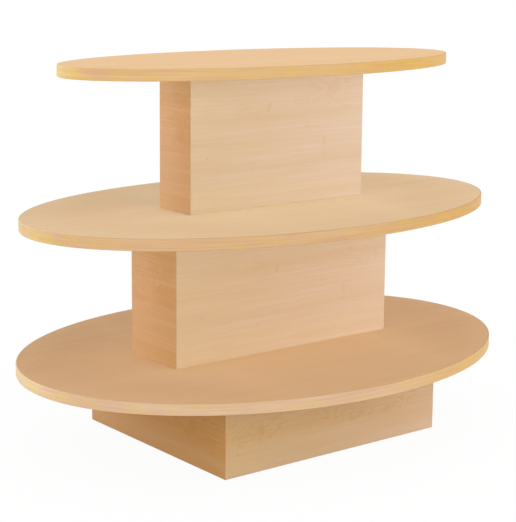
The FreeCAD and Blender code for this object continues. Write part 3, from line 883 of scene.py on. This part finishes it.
WIDE_LOOK, NARROW_LOOK = (0, WIDE_DRIFT, 4.0, 1.0), (1, NARROW_DRIFT, 8.0, 1.25)  # also seed and depth
for (box, side), panel in panels.items():
    low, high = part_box(f"{box}_{side}_panel")
    size = high - low
    wide = side in ("front", "back")
    which, drift, seed, depth = WIDE_LOOK if wide else NARROW_LOOK
    length, height, thick = (size.x, size.z, size.y) if wide else (size.y, size.z, size.x)
    marks, hem, tall = WIDE_PRINT if wide else NARROW_PRINT, None, height
    if box == "plinth":
        marks = PLINTH_PRINT if wide else on_the_side(PLINTH_PRINT)
        hem, tall = [share * height for share in (PLINTH_HEM if wide else reversed(PLINTH_HEM))], None
    finish = maple(f"maple_{box}_{side}", PANEL_TONES_AND_END_SHADE[box][which], turn=(0, 0, TURNS[side]),
                   middle=(low + high) / 2, thick=thick, length=length, seed=seed, depth=depth, drift=drift,
                   hem=hem, tall=tall, marks=in_metres(marks, length, height, *PRINT_SHIFTS[box]))
    dress(panel, "table", "maple_laminate", finish, f"{box}_{side}_panel")
print("maple on", len(panels), "panels")

# %% [markdown]
# ## Battens, posts and stretcher
#
# What holds a box together is out of sight until the table is tipped over. The battens and the corner
# posts are planed softwood. Softwood is stacked cones of rings, so a piece cut from it shows lines on its
# sides and arcs on its ends. Rings worked out in three dimensions about a pith beside the piece give both
# at once, and the packed pieces keep their own shape.

# %% Softwood for the battens and posts
def middle_of(node):
    """The middle of a packed piece."""
    low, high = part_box(node)
    return (low + high) / 2


def finish_nodes(material, *nodes):
    """Give packed pieces a finish, in their own material slots."""
    for node in nodes:
        for slot in bpy.data.objects[node].material_slots:
            slot.material = material


RING_WIDTH, PITH_ASIDE = 0.0034, (0.021, 0.052)
SPRING_WOOD, LATE_WOOD, FIBRE_WOOD = linear(226, 196, 150), linear(190, 142, 90), linear(206, 170, 124)
KNOT_WOOD = linear(116, 70, 38)


def softwood(name, middle, upright):
    """Planed softwood with its grain along X, or along Z if it stands upright."""
    finish = Finish(name, Specular_IOR_Level=0.3)
    x, y, z = finish.split(finish.object_point)
    along, side, across = (z, x, y) if upright else (x, y, z)
    pith = (middle.x, middle.y) if upright else (middle.y, middle.z)
    grain = finish.joined(along * 0.1, side, across)
    wander = finish.noise(grain, 16, detail=1.0)
    radius = apart(side - pith[0] - PITH_ASIDE[0], across - pith[1] - PITH_ASIDE[1])
    year = (radius / RING_WIDTH + wander * 2.5).math("FRACT")
    late = year.rise(0.35, 0.88) * year.fall(0.92, 1.0)
    fibre = finish.noise(finish.joined(along * 0.02, side, across), 1700)
    knots = finish.node("ShaderNodeTexVoronoi", None, {
        "Vector": finish.joined(along * 4, side * 22, across * 22), "Scale": 1.0}, "Distance")
    knot = knots.fall(0.08, 0.15)
    colour = finish.layered(SPRING_WOOD, (LATE_WOOD, late * 0.75), (FIBRE_WOOD, fibre.rise(0.45, 0.8) * 0.5),
                            (KNOT_WOOD, knot * 0.85))
    finish.show(Base_Color=colour, Roughness=0.62 + 0.2 * fibre - 0.15 * late,
                Normal=finish.bumped(late * 0.5 + fibre * 0.5, depth=0.00012))
    return finish.material


BATTENS = {"upper_riser": ("_top", "_bottom"), "lower_riser": ("_top", "_bottom"), "plinth": ("",)}
for box, levels in BATTENS.items():
    for level in levels:
        pair = [f"{box}{level}_batten_{side}" for side in ("front", "back")]
        finish_nodes(softwood(f"softwood_{box}{level}", middle_of(pair[0]), upright=False), *pair)
        print("softwood on", *pair)
CORNERS = [f"{end}_{side}" for end in ("front", "back") for side in ("left", "right")]
for corner in CORNERS:
    post = f"plinth_post_{corner}"
    finish_nodes(softwood(f"softwood_post_{corner}", middle_of(post), upright=True), post)
low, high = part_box("plinth_stretcher")
finish_nodes(maple("maple_stretcher", PANEL_TONES_AND_END_SHADE["plinth"][0], turn=(0, 0, 90), middle=(low + high) / 2,
                   thick=high.x - low.x, length=high.y - low.y, seed=5.5), "plinth_stretcher")
print("softwood on", len(CORNERS), "posts, and maple on the stretcher")

# %% [markdown]
# ## Screws, bolts and inserts
#
# The steel is zinc plated: a pale, slightly blue metal with cloudy patches, duller in the places where the
# plating grew thicker. The inserts of the risers are brass, turned on a lathe, so their marks are rings.
# Metal has no colour of its own in Blender beyond the tint of its reflections, so both are pale grey or
# gold bases with metallic at 1, and the clouds go into the roughness as well.

# %% Plate the steel and turn the brass
ZINC_DARK, ZINC_PALE, ZINC_YELLOW = linear(170, 175, 180), linear(205, 206, 203), linear(190, 184, 158)
THREAD_DIRT, ROOT_RADII, ABOVE_COLLAR = linear(96, 92, 86), (0.00345, 0.0039), (0.0133, 0.0136)
BRASS, TARNISHED = linear(224, 190, 118), linear(178, 138, 72)


def zinc(name, thread_axis=None):
    """Zinc plate. Round a thread's axis the roots of the thread are dull, because dirt stays there."""
    finish = Finish(name, Metallic=1.0)
    point = finish.object_point
    cloud = finish.noise(point, 170, detail=3.0)
    grit = finish.noise(point, 2600)
    colour = finish.layered(ZINC_DARK, (ZINC_PALE, cloud.rise(0.35, 0.68)),
                            (ZINC_YELLOW, (cloud - 0.5).larger(0) * 1.2))
    roughness = 0.24 + 0.22 * cloud + 0.08 * grit
    if thread_axis:
        x, y, z = finish.split(point)
        radius = apart(abs(x) - thread_axis[0], abs(y) - thread_axis[1])
        root = radius.fall(*ROOT_RADII) * z.rise(*ABOVE_COLLAR)
        colour = finish.blend(colour, THREAD_DIRT, root * 0.8)
        roughness = roughness + root * 0.25
    finish.show(Base_Color=colour, Roughness=roughness,
                Normal=finish.bumped(grit * 0.6 + cloud, depth=0.00003))
    return finish.material


def turned_brass(name):
    """Brass from a lathe: close rings round an upright axis, tarnished in patches."""
    finish = Finish(name, Metallic=1.0)
    point = finish.object_point
    rings = finish.noise(point, (90, 90, 5200))
    tarnish = finish.noise(point, 240, detail=3.0).rise(0.45, 0.75)
    finish.show(Base_Color=finish.blend(BRASS, TARNISHED, tarnish * 0.7),
                Roughness=0.22 + 0.18 * rings + 0.15 * tarnish, Normal=finish.bumped(rings, depth=0.00004))
    return finish.material


plated = zinc("zinc_plate")
finish_nodes(plated, "foot_inserts", "plinth_shelf_screws", "plinth_batten_screws", "plinth_post_screws",
             *(f"{box}_{kind}" for box in BOXES[1:] for kind in ("shelf_screws", "batten_screws", "washers")))
finish_nodes(turned_brass("turned_brass"), "upper_riser_inserts", "lower_riser_inserts")
print("metal on the screws, washers and inserts")

# %% [markdown]
# ## The levelling feet
#
# Four feet take up an uneven floor. Each has a pad of moulded nylon, and a steel stud whose turned end
# sits in the pad. The stud is turned by its hexagon collar and climbs into a threaded insert in the post.
# A pad is a shape of revolution, as from a lathe: its half section is drawn point by point and spun round.
# On the pad that is a recessed underside, a rim that is rounded where it meets the floor, a gentle slope
# and a boss round the neck. The four feet are one foot, copied.

# %% A lathe, and the foot's pad
LATHE_STEPS = 64


def draw_section(name, points):
    """Draw a line through points given as (radius, height) in millimetres, beside the Z axis."""
    places = [Vector((radius, 0, height)) / 1000 for radius, height in points]
    select_only()
    bpy.ops.mesh.primitive_plane_add(size=0.001)
    piece = start_mesh(name)
    bpy.ops.mesh.select_mode(type="VERT")
    bpy.ops.mesh.select_all(action="SELECT")
    bpy.ops.mesh.merge(type="CENTER")
    bpy.ops.transform.translate(value=places[0])
    for before, after in zip(places, places[1:]):
        bpy.ops.mesh.extrude_region_move(TRANSFORM_OT_translate={"value": after - before})
    return piece


def lathe(name, points):
    """Spin a half section once round the Z axis, weld the seam and the poles, and close the piece."""
    piece = draw_section(name, points)
    bpy.ops.mesh.select_all(action="SELECT")
    bpy.ops.mesh.spin(steps=LATHE_STEPS, angle=2 * math.pi, center=(0, 0, 0), axis=(0, 0, 1))
    weld()
    close_mesh(piece)
    return piece


def soft_corner(before, corner, after, radius, steps=4):
    """Points of a rounded corner between two straight strokes."""
    before, corner, after = (Vector(point) for point in (before, corner, after))
    inward, outward = (before - corner).normalized(), (after - corner).normalized()
    half = inward.angle(outward) / 2
    start, end = corner + inward * radius / math.tan(half), corner + outward * radius / math.tan(half)
    centre = corner + (inward + outward).normalized() * radius / math.sin(half)
    arc = []
    for step in range(steps + 1):
        share = (start - centre).lerp(end - centre, step / steps)
        arc.append(tuple(centre + share.normalized() * radius))
    return arc


def rounded_section(*strokes):
    """A half section from (radius, height, rounding) triples, where a rounding of 0 stays sharp."""
    section = []
    for number, (radius, height, rounding) in enumerate(strokes):
        if rounding:
            section += soft_corner(strokes[number - 1][:2], (radius, height),
                                   strokes[number + 1][:2], rounding)
        else:
            section.append((radius, height))
    return section


pad = lathe("foot_pad_pattern", rounded_section(
    (0, 0.5, 0), (7, 0.5, 0.2), (7.4, 0.0, 0.2), (9, 0.0, 0.2), (9.4, 0.5, 0.2), (14, 0.5, 0.2),
    (14.5, 0.0, 0.2), (20, 0.0, 1.5), (20, 7.0, 1.2), (11.4, 7.5, 0.4), (11, 8.0, 0.25),
    (4.3, 8.0, 0.3), (4.3, 6.0, 0), (8.3, 6.0, 0.2), (8.3, 2.4, 0.3), (0, 2.4, 0)))
print("pad", [round(1000 * side, 2) for side in pad.dimensions], "mm,", len(pad.data.polygons), "faces")

# %% [markdown]
# The stud is three parts that are joined: the turned end and neck, the collar, and the thread. A hexagon
# collar is a bar with six flats whose corners have been turned off at both ends, so it is modelled the
# same way: a six-sided prism from which only what lies inside a lathed blank is kept.

# %% The stud's end and collar
COLLAR_FLATS, COLLAR_LOW, COLLAR_HIGH = 13.0, 8.3, 13.3  # millimetres, as are all sizes of the stud
TURNED_OFF, CHAMFER = (0.48, 0.62), 0.08  # the blank's radii and its chamfer, as shares of the flats


def chamfered_hexagon(name, flats, low, high):
    """A hexagon with its corners turned off at both ends, a corner towards +X."""
    narrow, wide = (share * flats for share in TURNED_OFF)
    blank = lathe(f"{name}_blank", [
        (0, low), (narrow, low), (wide, low + CHAMFER * flats), (wide, high - CHAMFER * flats),
        (narrow, high), (0, high)])
    select_only()
    bpy.ops.mesh.primitive_cylinder_add(vertices=6, radius=flats / math.sqrt(3) / 1000,
                                        depth=2 * (high - low) / 1000, location=(0, 0, (low + high) / 2000),
                                        rotation=(0, 0, math.pi / 6))
    piece = start_mesh(name)
    bpy.ops.object.mode_set(mode="OBJECT")
    modify(piece, "BOOLEAN", operation="INTERSECT", solver="EXACT", object=blank)
    bpy.data.objects.remove(blank)
    bpy.ops.object.mode_set(mode="EDIT")
    close_mesh(piece, smooth_below=20)
    return piece


turned_end = lathe("stud_end", rounded_section(
    (0, 2.7, 0), (8, 2.7, 0.4), (8, 5.7, 0.4), (4, 5.7, 0), (4, 8.6, 0), (0, 8.6, 0)))
collar = chamfered_hexagon("stud_collar", COLLAR_FLATS, COLLAR_LOW, COLLAR_HIGH)
print("collar", [round(1000 * side, 2) for side in collar.dimensions], "mm")

# %% [markdown]
# The thread is one tooth of the M8 profile, carried round and up by the Screw modifier, 1.25 mm for each
# turn, and then cut off square. It is a right-hand thread, so that the foot comes down as its collar is
# turned.

# %% The stud's thread
PITCH, CREST, ROOT, THREAD_LOW, THREAD_HIGH = 1.25, 4.0, 3.3, 14.1, 45.3
CLEAR_OF_CUTS = 0.007  # keeps the points of the thread out of the planes that cut it


def cut_thread(name, low, high):
    """A right-hand thread round the Z axis, closed by a flat face at each end."""
    tooth = [(ROOT, 0), (CREST, 0.40 * PITCH), (CREST, 0.525 * PITCH), (ROOT, 0.925 * PITCH), (ROOT, PITCH)]
    start = low - 2.4 * PITCH + CLEAR_OF_CUTS
    piece = draw_section(name, [(radius, start + height) for radius, height in tooth])
    bpy.ops.object.mode_set(mode="OBJECT")
    modify(piece, "SCREW", axis="Z", angle=2 * math.pi, screw_offset=PITCH / 1000, steps=36,
           render_steps=36, iterations=math.ceil((high - low) / PITCH) + 4)
    bpy.ops.object.mode_set(mode="EDIT")
    weld()
    for height, side in ((low, 1), (high, -1)):
        bpy.ops.mesh.select_all(action="SELECT")
        bpy.ops.mesh.bisect(plane_co=(0, 0, height / 1000), plane_no=(0, 0, side), use_fill=True,
                            clear_inner=True, threshold=1e-7)
    close_mesh(piece, smooth_below=25)
    return piece


def join_pieces(name, first, *others):
    """Join the other pieces into the first."""
    select_only(first, *others)
    bpy.ops.object.join()
    first.name = first.data.name = name
    return first


undercut = lathe("stud_undercut", [(0, 13.0), (ROOT, 13.0), (ROOT, 14.4), (0, 14.4)])
thread = cut_thread("stud_thread", THREAD_LOW, THREAD_HIGH)
stud = join_pieces("stud_pattern", thread, turned_end, collar, undercut)
print("stud", [round(1000 * side, 2) for side in stud.dimensions], "mm,", len(stud.data.polygons), "faces")

# %% [markdown]
# Moulded nylon is black with a faint spark-eroded texture. Its rim is scuffed grey where the table has
# been pushed about, and a hair-thin line halfway up shows where the two halves of the mould met.

# %% Mould the nylon
RIM, SIDE_FOOT, SOLE, TOP_FACE = (0.0165, 0.0195), (0.001, 0.0045), (0.00005, 0.0002), (0.0066, 0.0080)
PARTING_LEVEL, PARTING_HALF = 0.004, (0.00006, 0.00014)
NYLON_DARK, NYLON_GREY, SCUFFED, DUST = (linear(36, 36, 37), linear(50, 50, 51), linear(92, 90, 86),
                                         linear(150, 146, 138))


def nylon(name, middle):
    """Black nylon, for all four pads at once: the pattern is worked out from their shared distances."""
    finish = Finish(name, Specular_IOR_Level=0.3)
    point = finish.object_point
    x, y, z = finish.split(point)
    radius = apart(abs(x) - middle[0], abs(y) - middle[1])
    grain = finish.noise(point, 2300, detail=3.0)
    scuff = finish.noise(point, (420, 420, 1800), detail=3.0).rise(0.55, 0.72)
    worn = scuff * (radius.rise(*RIM) * z.fall(*SIDE_FOOT)).larger(z.fall(*SOLE))
    dust = finish.noise(point, 150).rise(0.4, 0.8) * z.rise(*TOP_FACE)
    colour = finish.layered(NYLON_DARK, (NYLON_GREY, grain.rise(0.35, 0.75)), (SCUFFED, worn * 0.5),
                            (DUST, dust * 0.16))
    parting = abs(z - PARTING_LEVEL).fall(*PARTING_HALF)
    relief = grain * 0.5 + parting * 1.2 - worn * 0.3
    finish.show(Base_Color=colour, Roughness=0.46 + 0.16 * grain + 0.18 * worn,
                Normal=finish.bumped(relief, depth=0.00006))
    return finish.material


foot_middle = middle_of("foot_pad_back_right")
black_nylon, foot_steel = nylon("black_nylon", foot_middle), zinc("zinc_foot_stud", foot_middle)
print("nylon about", [round(part, 3) for part in foot_middle])

# %% [markdown]
# One pad and one stud are enough to model. Each corner gets a copy with its own mesh, moved in its mesh,
# because every piece's own origin stays at the origin of the table.

# %% Set a foot at each corner
def copied(pattern, name, place):
    """A copy of a piece with its own mesh, moved in its mesh to a place."""
    select_only(pattern)
    bpy.ops.object.duplicate()
    copy = bpy.context.object
    copy.name = copy.data.name = name
    copy.location = place
    bpy.ops.object.transform_apply(location=True, rotation=False, scale=False)
    return copy


for corner in CORNERS:
    pad_node, stud_node = f"foot_pad_{corner}", f"foot_stud_{corner}"
    place = middle_of(pad_node) * Vector((1, 1, 0))
    dress(copied(pad, f"nylon_pad_{corner}", place), pad_node, "foot_plastic", black_nylon, pad_node)
    dress(copied(stud, f"threaded_stud_{corner}", place), stud_node, "zinc_steel", foot_steel, stud_node)
for pattern in (pad, stud):
    bpy.data.objects.remove(pattern)
print("feet at", ", ".join(CORNERS))

# %% [markdown]
# The bolts' heads can be seen from underneath, so the eight bolts are remade too. Like the collars they
# are hexagons with turned-off corners, and the shank's end is chamfered so that it finds its insert.
# The four bolts of a riser are one piece, as they are one node.

# %% Turn the bolts
BOLT_FLATS, BOLT_HEAD, BOLT_RADIUS, BOLT_CHAMFER = 10.0, 4.0, 3.0, 0.6


def model_bolt(name, length):
    """A hexagon bolt whose head hangs below the origin and whose shank stands above it."""
    head = chamfered_hexagon(f"{name}_head", BOLT_FLATS, -BOLT_HEAD, 0)
    shank = lathe(name, [(0, -1), (BOLT_RADIUS, -1), (BOLT_RADIUS, length - BOLT_CHAMFER),
                         (BOLT_RADIUS - BOLT_CHAMFER, length), (0, length)])
    return join_pieces(name, shank, head)


for box in BOXES[1:]:
    low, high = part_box(f"{box}_bolts")
    underside = low.z + BOLT_HEAD / 1000
    bolt = model_bolt(f"{box}_bolt_pattern", 1000 * (high.z - underside))
    bolts = join_pieces(f"{box}_hex_bolts", *(copied(bolt, f"{box}_hex_bolts", (x, y, underside))
                                              for x, y in bolt_places(box)))
    dress(bolts, "table", "zinc_steel", plated, f"{box}_bolts")
    bpy.data.objects.remove(bolt)
    print(bolts.name, [round(side, 4) for side in bolts.dimensions])

# %% [markdown]
# ## Finish
#
